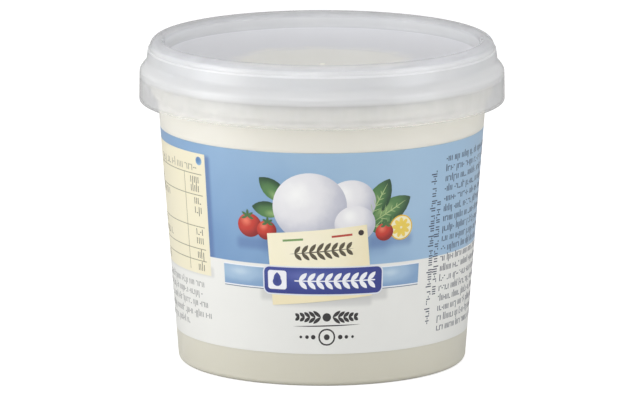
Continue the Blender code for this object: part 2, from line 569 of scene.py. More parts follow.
@dataclass(frozen=True)
class LidFinish(PlasticFinish):
    """The lid's plastic: its panel hides more than its skirt, and the cheese shows where it presses on the disc. The
    panel and the crest are greyed with painted shade.
    """

    patch: Colour = srgb(250, 247, 236)
    # The panel tone is painted shade, greying the panel for the dim inside below it.
    panel: Colour = srgb(231, 232, 238)
    # The crest tone is painted shade, greying the ring's crest.
    crest: Colour = (0.76, 0.77, 0.8)
    patch_radius: float = 27.6
    patch_fade: float = 6.0
    patch_ragged: float = 6.0
    panel_radius: float = 42.0
    panel_fade: float = 0.8
    panel_opacity: float = 0.8
    panel_top: float = 83.2
    panel_top_fade: float = 0.6
    ring_base: float = 75.0
    ring_fade: float = 2.5
    ring_opacity: float = 0.5
    crest_base: float = 84.4
    crest_fade: float = 1.2
    crest_opacity: float = 0.2
    crease_z: float = 83.6
    crease_half: float = 0.55
    crease_soft: float = 0.35
    crease_radius: float = 45.4
    crease_fade: float = 0.4
    crease_opacity: float = 0.62
    hem: float = 70.0
    hem_fade: float = 1.5
    hem_share: float = 0.3

    def tinted(self, w: Recipe, colour: Socket, opacity: Socket) -> tuple[Socket, Socket]:
        """Adds the denser ring, crease and panel, the wet patch, and painted shade on the panel and the crest, to the
        clear skirt.

        Args:
            w: The material's wiring.
            colour: The plain plastic's colour.
            opacity: The plain plastic's opacity.

        Returns:
            The colour and the opacity of the lid.
        """
        place = w.place()
        height = place["Z"]
        radius = w.length(place["X"], place["Y"])
        inside = w.fade(radius, self.panel_radius, self.panel_fade)
        flat = w.math("MULTIPLY", w.fade(height, self.panel_top, self.panel_top_fade), inside)
        ragged = w.sway(radius, w.noise(9.0), self.patch_ragged)
        wet = w.math("MULTIPLY", flat, w.fade(ragged, self.patch_radius, self.patch_fade))
        top = w.rise(height, self.crest_base, self.crest_fade)
        skirt = w.math("MULTIPLY", opacity, w.ramp(height, self.hem, self.hem + self.hem_fade, self.hem_share, 1.0))
        denser = w.math("MAXIMUM", skirt, w.math("MAXIMUM", self._ring(w, height), self._crease(w, height, radius)))
        hidden = w.math("MAXIMUM", denser, w.math("MULTIPLY", flat, self.panel_opacity))
        # Painted shade: the crest and the panel take greyer tones than the plastic.
        tone = w.blend(wet, w.blend(flat, w.blend(top, colour, self.crest), self.panel), self.patch)
        return tone, hidden

    def _ring(self, w: Recipe, height: Socket) -> Socket:
        """Lets the ring clear towards its crest.

        Args:
            w: The material's wiring.
            height: The height in millimetres.

        Returns:
            The ring's opacity.
        """
        ring = w.ramp(height, self.ring_base, self.ring_base + self.ring_fade, 0.0, self.ring_opacity)
        crest_end = self.crest_base + self.crest_fade
        crest = w.ramp(height, self.crest_base, crest_end, self.ring_opacity, self.crest_opacity)
        return w.math("MINIMUM", ring, crest)

    def _crease(self, w: Recipe, height: Socket, radius: Socket) -> Socket:
        """Shows the fine crease round the ring's outside.

        Args:
            w: The material's wiring.
            height: The height in millimetres.
            radius: The distance from the axis in millimetres.

        Returns:
            The crease's opacity.
        """
        apart = w.math("ABSOLUTE", w.math("SUBTRACT", height, self.crease_z))
        outside = w.math("MULTIPLY", w.rise(radius, self.crease_radius, self.crease_fade), self.crease_opacity)
        return w.math("MULTIPLY", w.fade(apart, self.crease_half, self.crease_soft), outside)


@dataclass(frozen=True)
class MilkyFinish:
    """A cloudy dairy surface that light sinks into."""

    name: str
    colour: Colour
    clot: Colour
    clot_size: float
    roughness: float
    relief: float
    depth: float

    def material(self) -> bpy.types.Material:
        """Builds the finish.

        Returns:
            The material.
        """
        fixed = {
            "Roughness": self.roughness,
            "Subsurface Weight": 1.0,
            "Subsurface Radius": (1.0, 0.85, 0.6),
            "Subsurface Scale": self.depth * MM,
        }
        w = Recipe(self.name, fixed)
        clots = w.noise(self.clot_size, 3.0)
        strands = w.noise(self.clot_size / 5, 2.0, (1.0, 1.0, 0.5))
        w.join("Base Color", w.blend(w.ramp(clots, 0.35, 0.65), self.colour, self.clot))
        w.relief(w.average(0.3, strands, clots), self.relief, 0.6)
        return w.material


@dataclass(frozen=True)
class PrintedShadow:
    """A soft shadow on the print sheet."""

    centre: Point
    half: Point
    softness: float
    strength: float

    def over(self, w: Recipe, place: bpy.types.NodeOutputs, ground: Signal, tone: Colour) -> Socket:
        """Lays the shadow on a ground.

        Args:
            w: The material's wiring.
            place: The place on the print sheet.
            ground: The colour that it falls on.
            tone: The colour of a full shadow.

        Returns:
            The shaded colour.
        """
        values = (place["Across"], place["Up"], *self.centre, *self.half, self.softness)
        mask = w.group(EFFECTS.soft_panel, dict(zip(Effects.PANEL_INPUTS, values)))["Mask"]
        return w.blend(w.math("MULTIPLY", mask, self.strength), ground, tone)


@dataclass(frozen=True)
class SleeveFinish:
    """The sleeve's own print: a sky-blue field over white, with soft shadows under what is drawn on it."""

    name: str = "sleeve_film"
    field: Colour = srgb(135, 169, 204)
    deep: Colour = srgb(108, 146, 190)
    # The pale tone is partly painted sheen, for the field's upper right.
    pale: Colour = srgb(160, 190, 216)
    white: Colour = srgb(232, 232, 228)
    shadow: Colour = srgb(84, 112, 164)
    grey: Colour = srgb(196, 196, 194)
    field_bottom: float = 32.8
    edge: float = 0.08
    mottle: float = 0.06
    field_shadows: tuple[PrintedShadow, ...] = (
        PrintedShadow((-57.5, 43.4), (25.3, 15.8), 1.6, 0.75),
        PrintedShadow((-18.5, 38.2), (3.6, 0.4), 2.2, 0.55),
        PrintedShadow((18.6, 38.9), (5.0, 0.3), 2.4, 0.5),
        PrintedShadow((1.0, 40.0), (15.0, 2.0), 4.0, 0.4),
    )
    ground_shadows: tuple[PrintedShadow, ...] = (
        PrintedShadow((-57.5, 28.6), (25.0, 0.8), 1.2, 0.5),
        PrintedShadow((0.6, 26.0), (16.6, 2.0), 1.6, 0.6),
        PrintedShadow((0.2, 23.2), (12.6, 0.6), 1.5, 0.6),
    )

    def material(self) -> bpy.types.Material:
        """Builds the finish.

        Returns:
            The material.
        """
        w = Recipe(self.name, SATIN_FILM)
        place = w.group(EFFECTS.sheet_place, {})
        sky = self._sky(w, place)
        for shadow in self.field_shadows:
            sky = shadow.over(w, place, sky, self.shadow)
        ground = self.white
        for shadow in self.ground_shadows:
            ground = shadow.over(w, place, ground, self.grey)
        above = w.ramp(place["Up"], self.field_bottom - self.edge, self.field_bottom + self.edge)
        w.ink(w.blend(above, ground, sky), self.mottle)
        return w.material

    def _sky(self, w: Recipe, place: bpy.types.NodeOutputs) -> Socket:
        """Mixes the blue field, deeper to the lower left and paler to the upper right; the pale upper right is partly
        the print's own gradient and partly painted sheen.

        Args:
            w: The material's wiring.
            place: The place on the print sheet.

        Returns:
            The field's colour.
        """
        right = w.math("MULTIPLY", w.math("SINE", w.math("DIVIDE", place["Across"], SHEET.radius)), SHEET.radius)
        slant = w.math("MULTIPLY_ADD", place["Up"], 0.6, w.math("MULTIPLY", right, 0.55))
        uneven = w.math("MULTIPLY_ADD", w.noise(16.0), 14.0, slant)
        low = w.blend(w.ramp(uneven, 5.0, 32.0), self.deep, self.field)
        # Painted sheen, in part: the field pales towards the upper right.
        return w.blend(w.ramp(uneven, 26.0, 52.0), low, self.pale)


# Turned pieces


class Contour:
    """An outline in the plane through the axis, as radius and height in millimetres."""

    def __init__(self, radius: float, height: float) -> None:
        """Starts the outline at a point."""
        self.points: list[Point] = [(radius, height)]

    def to(self, radius: float, height: float) -> "Contour":
        """Runs straight to a point."""
        self.points.append((radius, height))
        return self

    def bow(self, centre: Point, half: Point, start: float, end: float, count: int = 12) -> "Contour":
        """Runs along an elliptical bow.

        Args:
            centre: The bow's centre.
            half: Its half width and half height.
            start: The angle that it starts at, in degrees, 90 being straight up.
            end: The angle that it ends at.
            count: How many points it has.

        Returns:
            The outline itself.
        """
        for i in range(count):
            angle = math.radians(start + (end - start) * i / (count - 1))
            self.to(centre[0] + half[0] * math.cos(angle), centre[1] + half[1] * math.sin(angle))
        return self

    def corner(self, centre: Point, radius: float, start: float, end: float, count: int = 12) -> "Contour":
        """Runs along a round corner."""
        return self.bow(centre, (radius, radius), start, end, count)

    def flare(self, radius: float, height: float, count: int = 14) -> "Contour":
        """Runs along an S-shaped flare, upright at both ends.

        Args:
            radius: The radius that it ends at.
            height: The height that it ends at.
            count: How many points it has, with its first one.

        Returns:
            The outline itself.
        """
        from_radius, from_height = self.points[-1]
        for i in range(1, count):
            share = i / (count - 1)
            ease = 0.5 - 0.5 * math.cos(math.pi * share)
            self.to(from_radius + (radius - from_radius) * ease, from_height + (height - from_height) * share)
        return self

    def turned(self, name: str, steps: int, closed: bool = False) -> bpy.types.Object:
        """Turns the outline about +Z.

        Args:
            name: The piece's name.
            steps: How many steps a turn has.
            closed: Whether the outline runs back to its first point.

        Returns:
            The piece, in metres, at the origin.
        """
        bm = bmesh.new()
        verts = [bm.verts.new((radius, 0.0, height)) for radius, height in self.points]
        pairs = list(zip(verts, verts[1:]))
        if closed:
            pairs.append((verts[-1], verts[0]))
        edges = [bm.edges.new(pair) for pair in pairs]
        bmesh.ops.spin(bm, geom=verts + edges, axis=(0, 0, 1), angle=math.tau, steps=steps, use_merge=True)
        bmesh.ops.remove_doubles(bm, verts=bm.verts[:], dist=MERGE)
        bmesh.ops.recalc_face_normals(bm, faces=bm.faces[:])
        bmesh.ops.scale(bm, vec=(MM, MM, MM), verts=bm.verts[:])
        return finished(bm, name)


def finished(bm: bmesh.types.BMesh, name: str, smooth: bool = True) -> bpy.types.Object:
    """Makes a piece from a finished bmesh.

    Args:
        bm: The mesh, in metres, in its place.
        name: The piece's name.
        smooth: Whether it is shaded smooth between its sharp edges.

    Returns:
        The piece, linked to the scene.
    """
    mesh = bpy.data.meshes.new(name)
    bm.to_mesh(mesh)
    bm.free()
    if smooth:
        mesh.shade_smooth()
        mesh.set_sharp_from_angle(angle=SHARP_ANGLE)
    piece = bpy.data.objects.new(name, mesh)
    bpy.context.scene.collection.objects.link(piece)
    return piece


def dress(piece: bpy.types.Object, material: bpy.types.Material, slot: str, *nodes: str) -> None:
    """Gives a piece its finish, hangs it under the root, and hides the CAD nodes that it replaces.

    Args:
        piece: The piece.
        material: Its finish.
        slot: The name of the material slot that it belongs to. It is not used.
        nodes: The CAD nodes that it replaces.
    """
    piece.data.materials.append(material)
    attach(piece, ROOT)
    if nodes:
        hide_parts(*nodes)
    LOG.info("%s: %d faces", piece.name, len(piece.data.polygons))


@dataclass
class Pot:
    """The tapered pot: a drafted wall on a ring foot, a collar, and a lip turned down under its rim."""

    wall: float = 1.1
    floor: float = 1.8
    inner_corner: float = 2.4
    base_corner: float = 1.6
    foot_width: float = 4.0
    foot_height: float = 0.8
    foot_round: float = 0.4
    mouth_round: float = 0.4
    rim_round: float = 1.3
    lip_bottom: float = 76.2
    lip_round: float = 0.25
    lip_wall: float = 0.9
    lip_hollow: float = 78.1
    collar_radius: float = 45.3
    collar_bottom: float = 71.8
    collar_bevel: float = 0.3
    bed: float = 0.03
    bed_margin: float = 0.1

    def __post_init__(self) -> None:
        """Reads the rim from the CAD pot."""
        _, high = node_box("pot")
        self.rim_radius = high.x
        self.rim_top = high.z

    def outline(self) -> Contour:
        """Draws floor, inner wall, rim, lip, outer wall and foot.

        Returns:
            The pot's outline.
        """
        corner_z = self.floor + self.inner_corner
        inner = SHEET.radius_at(corner_z) - self.wall
        mouth = SHEET.radius_at(self.rim_top) - self.wall
        mouth_z = self.rim_top - self.mouth_round
        lip_in = self.rim_radius - self.lip_wall
        under_collar = self.collar_bottom - self.collar_bevel
        c = Contour(0.0, self.floor).corner((inner - self.inner_corner, corner_z), self.inner_corner, -90, 0)
        c.to(mouth, mouth_z).corner((mouth + self.mouth_round, mouth_z), self.mouth_round, 180, 90, 5)
        c.corner((self.rim_radius - self.rim_round, self.rim_top - self.rim_round), self.rim_round, 90, 0, 10)
        c.corner((self.rim_radius - self.lip_round, self.lip_bottom + self.lip_round), self.lip_round, 0, -90, 4)
        c.to(lip_in, self.lip_bottom).to(lip_in, self.lip_hollow).to(self.collar_radius, self.lip_hollow)
        c.to(self.collar_radius, self.collar_bottom + self.collar_bevel)
        c.to(self.collar_radius - self.collar_bevel, self.collar_bottom)
        c.to(SHEET.radius_at(under_collar), under_collar)
        self._wall(c)
        return c.to(0.0, self.foot_height)

    def _wall(self, c: Contour) -> None:
        """Draws the outer wall with the shallow bed that the sleeve lies in, the bottom corner and the foot.

        Args:
            c: The outline so far.
        """
        top = SHEET.top_height + self.bed_margin
        bottom = SHEET.base_height - self.bed_margin
        c.to(SHEET.radius_at(top), top).to(SHEET.radius_at(top) - self.bed, top)
        c.to(SHEET.radius_at(bottom) - self.bed, bottom).to(SHEET.radius_at(bottom), bottom)
        base = SHEET.radius_at(self.base_corner) - self.base_corner
        c.corner((base, self.base_corner), self.base_corner, 0, -90)
        foot = base - self.foot_width
        half = (self.foot_round, self.foot_height / 2)
        c.bow((foot, half[1]), half, -90, -180, 4)
        c.bow((foot - 2 * self.foot_round, half[1]), half, 0, 90, 4)

    def build(self) -> None:
        """Makes and dresses the pot."""
        plastic = PotFinish("pot_plastic", srgb(243, 242, 239), srgb(239, 238, 234), 0.78, 0.3)
        dress(self.outline().turned("pot_shell", FINE_STEPS), plastic.material(), "pot_plastic", "pot")


@dataclass
class Lid:
    """The snap lid: a panel dished to a centre disc, a raised hollow ring, a flare and a skirt with a snap bead."""

    wall: float = 0.9
    gate_radius: float = 0.95
    gate_height: float = 0.25
    disc_radius: float = 24.8
    disc_z: float = 79.3
    disc_edge: tuple[Point, ...] = ((-0.8, 0.0), (-0.2, 0.02), (0.5, 0.11))
    panel_rim: float = 81.9
    panel_radius: float = 40.9
    panel_round: float = 1.0
    panel_bevel: float = 0.6
    crest_radius: float = 43.3
    ring_inner: float = 41.9
    ring_inner_z: float = 84.9
    ring_radius: float = 46.05
    shoulder_z: float = 83.6
    shoulder_ease: float = 0.3
    roll: float = 0.42
    roll_in: float = 0.25
    roll_drop: float = 0.1
    flare_radius: float = 46.5
    flare_top: float = 81.2
    flare_ease: float = 0.2
    skirt_top: float = 77.6
    skirt_draft: float = 0.1
    hem_round: float = 0.4
    bead_z: float = 75.2
    bead: float = 0.7
    hollow_round: float = 0.5
    plug_radius: float = 42.6
    plug_bottom: float = 77.6
    plug_draft: float = 0.3
    plug_foot: Point = (0.45, 0.3)

    def __post_init__(self) -> None:
        """Reads the lid's reach from its CAD node."""
        low, high = node_box("lid")
        self.skirt_radius = high.x
        self.bottom = low.z
        self.crest = high.z

    def outline(self) -> Contour:
        """Draws the lid from its middle over the ring to the skirt, and back underneath.

        Returns:
            The lid's outline.
        """
        gate_z = self.disc_z + self.gate_height
        ring_half = (self.crest_radius - self.ring_inner, self.crest - self.ring_inner_z)
        shoulder = self.shoulder_z + self.shoulder_ease
        shoulder_half = (self.ring_radius - self.crest_radius - self.shoulder_ease, self.crest - shoulder)
        hem_z = self.bottom + self.hem_round
        c = Contour(0.0, gate_z).to(self.gate_radius - self.gate_height, gate_z).to(self.gate_radius, self.disc_z)
        for across, up in self.disc_edge:
            c.to(self.disc_radius + across, self.disc_z + up)
        c.corner((self.panel_radius, self.panel_rim + self.panel_round), self.panel_round, -80, 0, 10)
        c.bow((self.crest_radius, self.ring_inner_z), ring_half, 180, 90)
        c.bow((self.crest_radius, shoulder), shoulder_half, 90, 12, 18)
        c.corner((self.ring_radius - self.roll_in, self.shoulder_z - self.roll_drop), self.roll, 80, -10, 8)
        c.to(self.flare_radius, self.flare_top).flare(self.skirt_radius - self.skirt_draft, self.skirt_top)
        c.to(self.skirt_radius, hem_z).corner((self.skirt_radius - self.hem_round, hem_z), self.hem_round, 0, -90, 5)
        self._underside(c)
        return c

    def _underside(self, c: Contour) -> None:
        """Draws the skirt's inside with its bead, the ring's hollow, the plug and the panel.

        Args:
            c: The outline so far.
        """
        skirt = self.skirt_radius - self.wall
        panel = self.panel_rim - self.wall
        disc = self.disc_z - self.wall
        foot = self.plug_radius - self.plug_draft
        hollow_half = (self.ring_radius - self.wall - self.crest_radius, self.crest - self.shoulder_z - self.wall)
        plug_half = (self.hollow_round, self.crest - self.wall - self.ring_inner_z)
        c.to(skirt, self.bottom).to(skirt, self.bead_z - self.bead)
        c.corner((skirt, self.bead_z), self.bead, -90, -270, 8)
        c.to(skirt, self.skirt_top + self.flare_ease)
        c.flare(self.flare_radius - self.wall, self.flare_top - self.flare_ease)
        c.bow((self.crest_radius, self.shoulder_z), hollow_half, 0, 90, 14)
        c.bow((self.plug_radius + self.hollow_round, self.ring_inner_z), plug_half, 90, 180, 5)
        c.bow((foot - self.plug_foot[0], self.plug_bottom + self.plug_foot[1]), self.plug_foot, 0, -180, 9)
        c.to(foot - self.wall, panel - self.panel_bevel).to(foot - self.wall - self.panel_bevel, panel)
        c.to(self.disc_radius + 0.5, disc + 0.08).to(self.disc_radius - 0.3, disc).to(0.0, disc)

    def build(self) -> None:
        """Makes and dresses the lid."""
        plastic = LidFinish("lid_plastic", srgb(244, 245, 248), srgb(240, 242, 246), 0.26, 0.25, 1.8, 0.8, 0.18)
        dress(self.outline().turned("lid_shell", FINE_STEPS), plastic.material(), "lid_plastic", "lid")


@dataclass
class Contents:
    """The burrata and the whey round it."""

    pleats: int = 11
    pleat_depth: float = 0.55
    pleat_wander: float = 1.6
    pleat_rise: float = 8.0
    dent_depth: float = 0.45
    dent_share: float = 0.06
    crown_power: float = 3.0
    crown_radius: float = 12.0
    crown_sink: float = 0.6
    crown_fold: float = 0.25
    belly_power: float = 2.1
    waist: float = 55.0
    crown_z: float = 83.5
    gap: float = 0.3
    wall: float = 0.98
    creep: Point = (1.2, 0.6)
    floor_corner: float = 2.4
    floor_overlap: float = 0.2

    def __post_init__(self) -> None:
        """Reads the cheese's and the whey's reach from their CAD nodes."""
        low, high = node_box("burrata")
        self.radius = high.x
        self.belly_z = low.z
        self.flat = high.z
        whey_low, whey_high = node_box("whey")
        self.level = whey_high.z
        self.whey_floor = whey_low.z

    def side(self, height: float, grow: float = 0.0) -> float:
        """Finds how far out the burrata's side is.

        Args:
            height: The height to look at.
            grow: A gap that is added all round.

        Returns:
            The radius.
        """
        above = height >= self.waist
        reach = (self.crown_z - self.waist if above else self.waist - self.belly_z) + grow
        power = self.crown_power if above else self.belly_power
        share = min(abs(height - self.waist) / reach, 1.0)
        return (self.radius + grow) * (1.0 - share**power) ** (1.0 / power)

    def _run(self, c: Contour, start: float, end: float, count: int, grow: float = 0.0) -> None:
        """Runs along the cheese's side between two heights.

        Args:
            c: The outline so far.
            start: The first height.
            end: The last height.
            count: How many points it has.
            grow: A gap that is added all round.
        """
        for i in range(count):
            ease = 0.5 - 0.5 * math.cos(math.pi * i / (count - 1))
            height = start + (end - start) * ease
            c.to(self.side(height, grow), height)

    def cheese(self) -> bpy.types.Object:
        """Turns the burrata and draws its skin into shallow pleats towards the crown.

        Returns:
            The piece.
        """
        edge = self.side(self.flat)
        rings = 14
        c = Contour(0.0, self.flat)
        for i in range(1, rings):
            c.to(edge * i / rings, self.flat)
        self._run(c, self.flat, self.waist, 30)
        self._run(c, self.waist, self.belly_z, 34)
        piece = c.turned("burrata_skin", FOOD_STEPS)
        for vertex in piece.data.vertices:
            vertex.co = self._pleated(vertex.co)
        piece.data.update()
        return piece

    def _pleated(self, at: Vector) -> Vector:
        """Moves a point of the burrata in along its pleats and soft dents.

        Args:
            at: The point, in metres.

        Returns:
            Where it goes.
        """
        angle = math.atan2(at.y, at.x)
        height = at.z / MM
        low = self.waist - self.pleat_rise
        rise = max(0.0, min(1.0, (height - low) / (self.flat - low)))
        wander = noise.noise(Vector((math.cos(angle), math.sin(angle), height * 0.02))) * self.pleat_wander
        fold = 0.5 - 0.5 * math.cos(self.pleats * (angle + wander * 0.3) + wander)
        dent = 0.5 + 0.5 * noise.noise(at / MM * self.dent_share)
        inward = (self.pleat_depth * fold * rise + self.dent_depth * dent) * MM
        across = Vector((at.x, at.y, 0.0))
        if across.length < 1e-6:
            return at
        moved = at - across.normalized() * min(inward, across.length * 0.2)
        centre = 1.0 - min(1.0, across.length / (self.crown_radius * MM))
        if height > self.flat - 0.05:
            moved.z -= (self.crown_fold * fold + self.crown_sink * centre * centre) * MM
        return moved

    def whey(self) -> bpy.types.Object:
        """Turns the whey, which reaches just into the pot's wall and creeps up it and the cheese.

        Returns:
            The piece.
        """
        low = self.belly_z - self.gap
        shore = self.level - self.creep[1]
        c = Contour(0.0, low)
        self._run(c, low, self.waist, 24, self.gap)
        self._run(c, self.waist, shore, 20, self.gap)
        inner = self.side(shore, self.gap)
        outer = SHEET.radius_at(self.level) - self.wall
        c.bow((inner + self.creep[0], self.level), self.creep, 180, 270, 6)
        c.bow((outer - self.creep[0], self.level), self.creep, -90, 0, 6)
        corner_z = self.whey_floor + self.floor_corner - self.floor_overlap
        base = SHEET.radius_at(corner_z) - self.wall
        c.corner((base - self.floor_corner, corner_z), self.floor_corner, 0, -90, 10)
        return c.to(0.0, corner_z - self.floor_corner).turned("whey_body", FOOD_STEPS)

    def build(self) -> None:
        """Makes and dresses the food."""
        liquid = MilkyFinish("milky_whey", srgb(246, 243, 233), srgb(242, 238, 225), 14.0, 0.3, 0.05, 5.0)
        skin = MilkyFinish("burrata_skin", srgb(242, 238, 224), srgb(234, 229, 210), 5.0, 0.4, 0.25, 2.5)
        dress(self.whey(), liquid.material(), "milky_whey", "whey")
        dress(self.cheese(), skin.material(), "cheese_skin", "burrata")


# The printed sleeve


class FlatPrint:
    """Shapes of one ink, drawn flat and then wrapped on the pot as one thin layer."""

    def __init__(self, name: str, layer: int) -> None:
        """Starts an empty drawing.

        Args:
            name: The piece's name.
            layer: Its place in the stack of inks, 1 being next to the film.
        """
        self.name = name
        self.lift = layer * SHEET.step
        self.bm = bmesh.new()
        self.map = self.bm.loops.layers.uv.new(MOTIF_MAP)

    def _fit(self, verts: list[bmesh.types.BMVert], centre: Point, half: Point, tilt: float) -> None:
        """Maps a new shape from -1 to 1 over its own size, then scales, turns and moves it into place.

        Args:
            verts: The shape's vertices.
            centre: Where its centre goes.
            half: Its half width and half height.
            tilt: Its turn in degrees.
        """
        for face in {face for vert in verts for face in vert.link_faces}:
            for loop in face.loops:
                loop[self.map].uv = loop.vert.co.xy
        turn = Matrix.Translation((*centre, 0.0)) @ Matrix.Rotation(math.radians(tilt), 4, "Z")
        shape = Matrix.Diagonal((*half, 1.0, 1.0))
        bmesh.ops.transform(self.bm, matrix=turn @ shape, verts=verts)

    def disc(self, centre: Point, half: Point, tilt: float = 0.0, segments: int = 32) -> "FlatPrint":
        """Draws a filled ellipse.

        Args:
            centre: Its centre.
            half: Its half width and half height.
            tilt: Its turn in degrees.
            segments: How many sides it has.

        Returns:
            The drawing itself.
        """
        made = bmesh.ops.create_circle(self.bm, cap_ends=True, radius=1.0, segments=segments)
        self._fit(made["verts"], centre, half, tilt)
        return self

    def leaf(self, root: Point, length: float, width: float, tilt: float) -> "FlatPrint":
        """Draws a pointed leaf.

        Args:
            root: Where it starts.
            length: Its length.
            width: Its width in the middle.
            tilt: The way that it points, in degrees.

        Returns:
            The drawing itself.
        """
        made = bmesh.ops.create_circle(self.bm, cap_ends=True, radius=1.0, segments=20)
        for vert in made["verts"]:
            vert.co.y *= abs(vert.co.y) ** 0.7
        self._fit(made["verts"], along(root, length / 2, tilt), (length / 2, width / 2), tilt)
        return self

    def bar(self, centre: Point, half: Point, corner: float = 0.0, tilt: float = 0.0) -> "FlatPrint":
        """Draws a bar with rounded corners."""
        self._bar(centre, half, corner, tilt)
        return self

    def _bar(self, centre: Point, half: Point, corner: float, tilt: float = 0.0) -> list[bmesh.types.BMVert]:
        """Draws a bar with rounded corners.

        Args:
            centre: Its centre.
            half: Its half width and half height.
            corner: The radius of its corners.
            tilt: Its turn in degrees.

        Returns:
            The bar's vertices.
        """
        verts = bmesh.ops.create_grid(self.bm, x_segments=1, y_segments=1, size=1.0)["verts"]
        self._fit(verts, centre, half, tilt)
        if corner <= 0.0:
            return verts
        cut = {"affect": "VERTICES", "offset": corner, "segments": 5, "profile": 0.5, "material": -1}
        return bmesh.ops.bevel(self.bm, geom=verts, **cut)["verts"]

    def ring(self, centre: Point, half: Point, corner: float, width: float) -> "FlatPrint":
        """Draws a rounded frame of one line width.

        Args:
            centre: Its centre.
            half: Its half width and half height, outside.
            corner: The radius of its corners, outside.
            width: The width of its line.

        Returns:
            The drawing itself.
        """
        verts = self._bar(centre, half, corner)
        faces = list({face for vert in verts for face in vert.link_faces})
        bmesh.ops.inset_region(self.bm, faces=faces, thickness=width, use_boundary=True, use_even_offset=True)
        bmesh.ops.delete(self.bm, geom=faces, context="FACES")
        return self

    def patch(self, corners: tuple[Point, ...]) -> "FlatPrint":
        """Draws a straight-sided patch.

        Args:
            corners: Its corners, counter-clockwise.

        Returns:
            The drawing itself.
        """
        face = self.bm.faces.new([self.bm.verts.new((*corner, 0.0)) for corner in corners])
        low = [min(axis) for axis in zip(*corners)]
        high = [max(axis) for axis in zip(*corners)]
        for loop in face.loops:
            loop[self.map].uv = [2 * (loop.vert.co[i] - low[i]) / (high[i] - low[i]) - 1 for i in (0, 1)]
        return self

    def wrapped(self) -> bpy.types.Object:
        """Cuts the drawing into upright strips, gives it thickness and wraps it on the cone.

        Returns:
            The piece.
        """
        bm = self.bm
        wide = [vert.co.x for vert in bm.verts]
        first = math.ceil(min(wide) / SHEET.strip)
        last = math.floor(max(wide) / SHEET.strip)
        for i in range(first, last + 1):
            geom = bm.verts[:] + bm.edges[:] + bm.faces[:]
            bmesh.ops.bisect_plane(bm, geom=geom, dist=1e-5, plane_co=(i * SHEET.strip, 0, 0), plane_no=(1, 0, 0))
        for face in bm.faces:
            if face.normal.z < 0:
                face.normal_flip()
        bmesh.ops.solidify(bm, geom=bm.faces[:], thickness=SHEET.depth)
        top = max(vert.co.z for vert in bm.verts)
        for vert in bm.verts:
            vert.co = SHEET.wrap(vert.co.x, vert.co.y, vert.co.z - top + self.lift)
        return finished(bm, self.name)

    def lay(self, material: bpy.types.Material) -> None:
        """Wraps the drawing on the pot and gives it its ink."""
        dress(self.wrapped(), material, "sleeve_print")


@dataclass(frozen=True)
class Spot:
    """A printed ellipse that is a piece of its own."""

    name: str
    layer: int
    centre: Point
    half: Point
    tilt: float = 0.0
    segments: int = 32

    def lay(self, material: bpy.types.Material) -> None:
        """Prints the spot."""
        FlatPrint(self.name, self.layer).disc(self.centre, self.half, self.tilt, self.segments).lay(material)


@dataclass
class SmallPrint:
    """Lines of small print, as plain ticks and dashes in groups of a word's length, with no letters."""

    drawing: FlatPrint
    seed: int
    height: float
    stroke: float
    pitch: float
    marks_a_word: tuple[int, int] = (3, 9)
    spacing: Point = (0.85, 1.1)
    word_gap: float = 1.1
    rising_share: float = 0.12
    tall_share: float = 0.18
    tall: float = 0.72
    tall_shift: float = 0.2
    dash_share: float = 0.45
    dash: float = 0.36
    dash_levels: tuple[float, ...] = (-0.42, 0.0, 0.42)

    def __post_init__(self) -> None:
        """Starts the seeded draw of word lengths."""
        self.draw = random.Random(self.seed)

    def line(self, start: float, end: float, up: float, upright: bool = False) -> None:
        """Fills one line with word-like groups.

        Args:
            start: Where it starts, across the sheet, or up it where the line stands upright.
            end: Where it ends.
            up: Its middle height, or its place across the sheet where it stands upright.
            upright: Whether the line runs up the sheet.
        """
        at = start
        while at < end - self.pitch:
            for _ in range(self.draw.randint(*self.marks_a_word)):
                if at > end - self.pitch:
                    break
                self._mark(at, up, upright)
                at += self.pitch * self.draw.uniform(*self.spacing)
            at += self.pitch * self.word_gap

    def _mark(self, at: float, up: float, upright: bool) -> None:
        """Draws one tick, tall tick or short dash.

        Args:
            at: Its place along the line.
            up: The line's own place.
            upright: Whether the line runs up the sheet.
        """
        kind = self.draw.random()
        half = (self.stroke / 2, self.height / 2)
        shift = 0.0
        if kind < self.tall_share:
            half = (self.stroke / 2, self.height * self.tall)
            shift = self.height * self.tall_shift * (1 if kind < self.rising_share else -1)
        elif kind < self.dash_share:
            half = (self.pitch * self.dash, self.stroke / 2)
            shift = self.height * self.draw.choice(self.dash_levels)
        if upright:
            self.drawing.bar((up - shift, at), (half[1], half[0]))
        else:
            self.drawing.bar((at, up + shift), half)


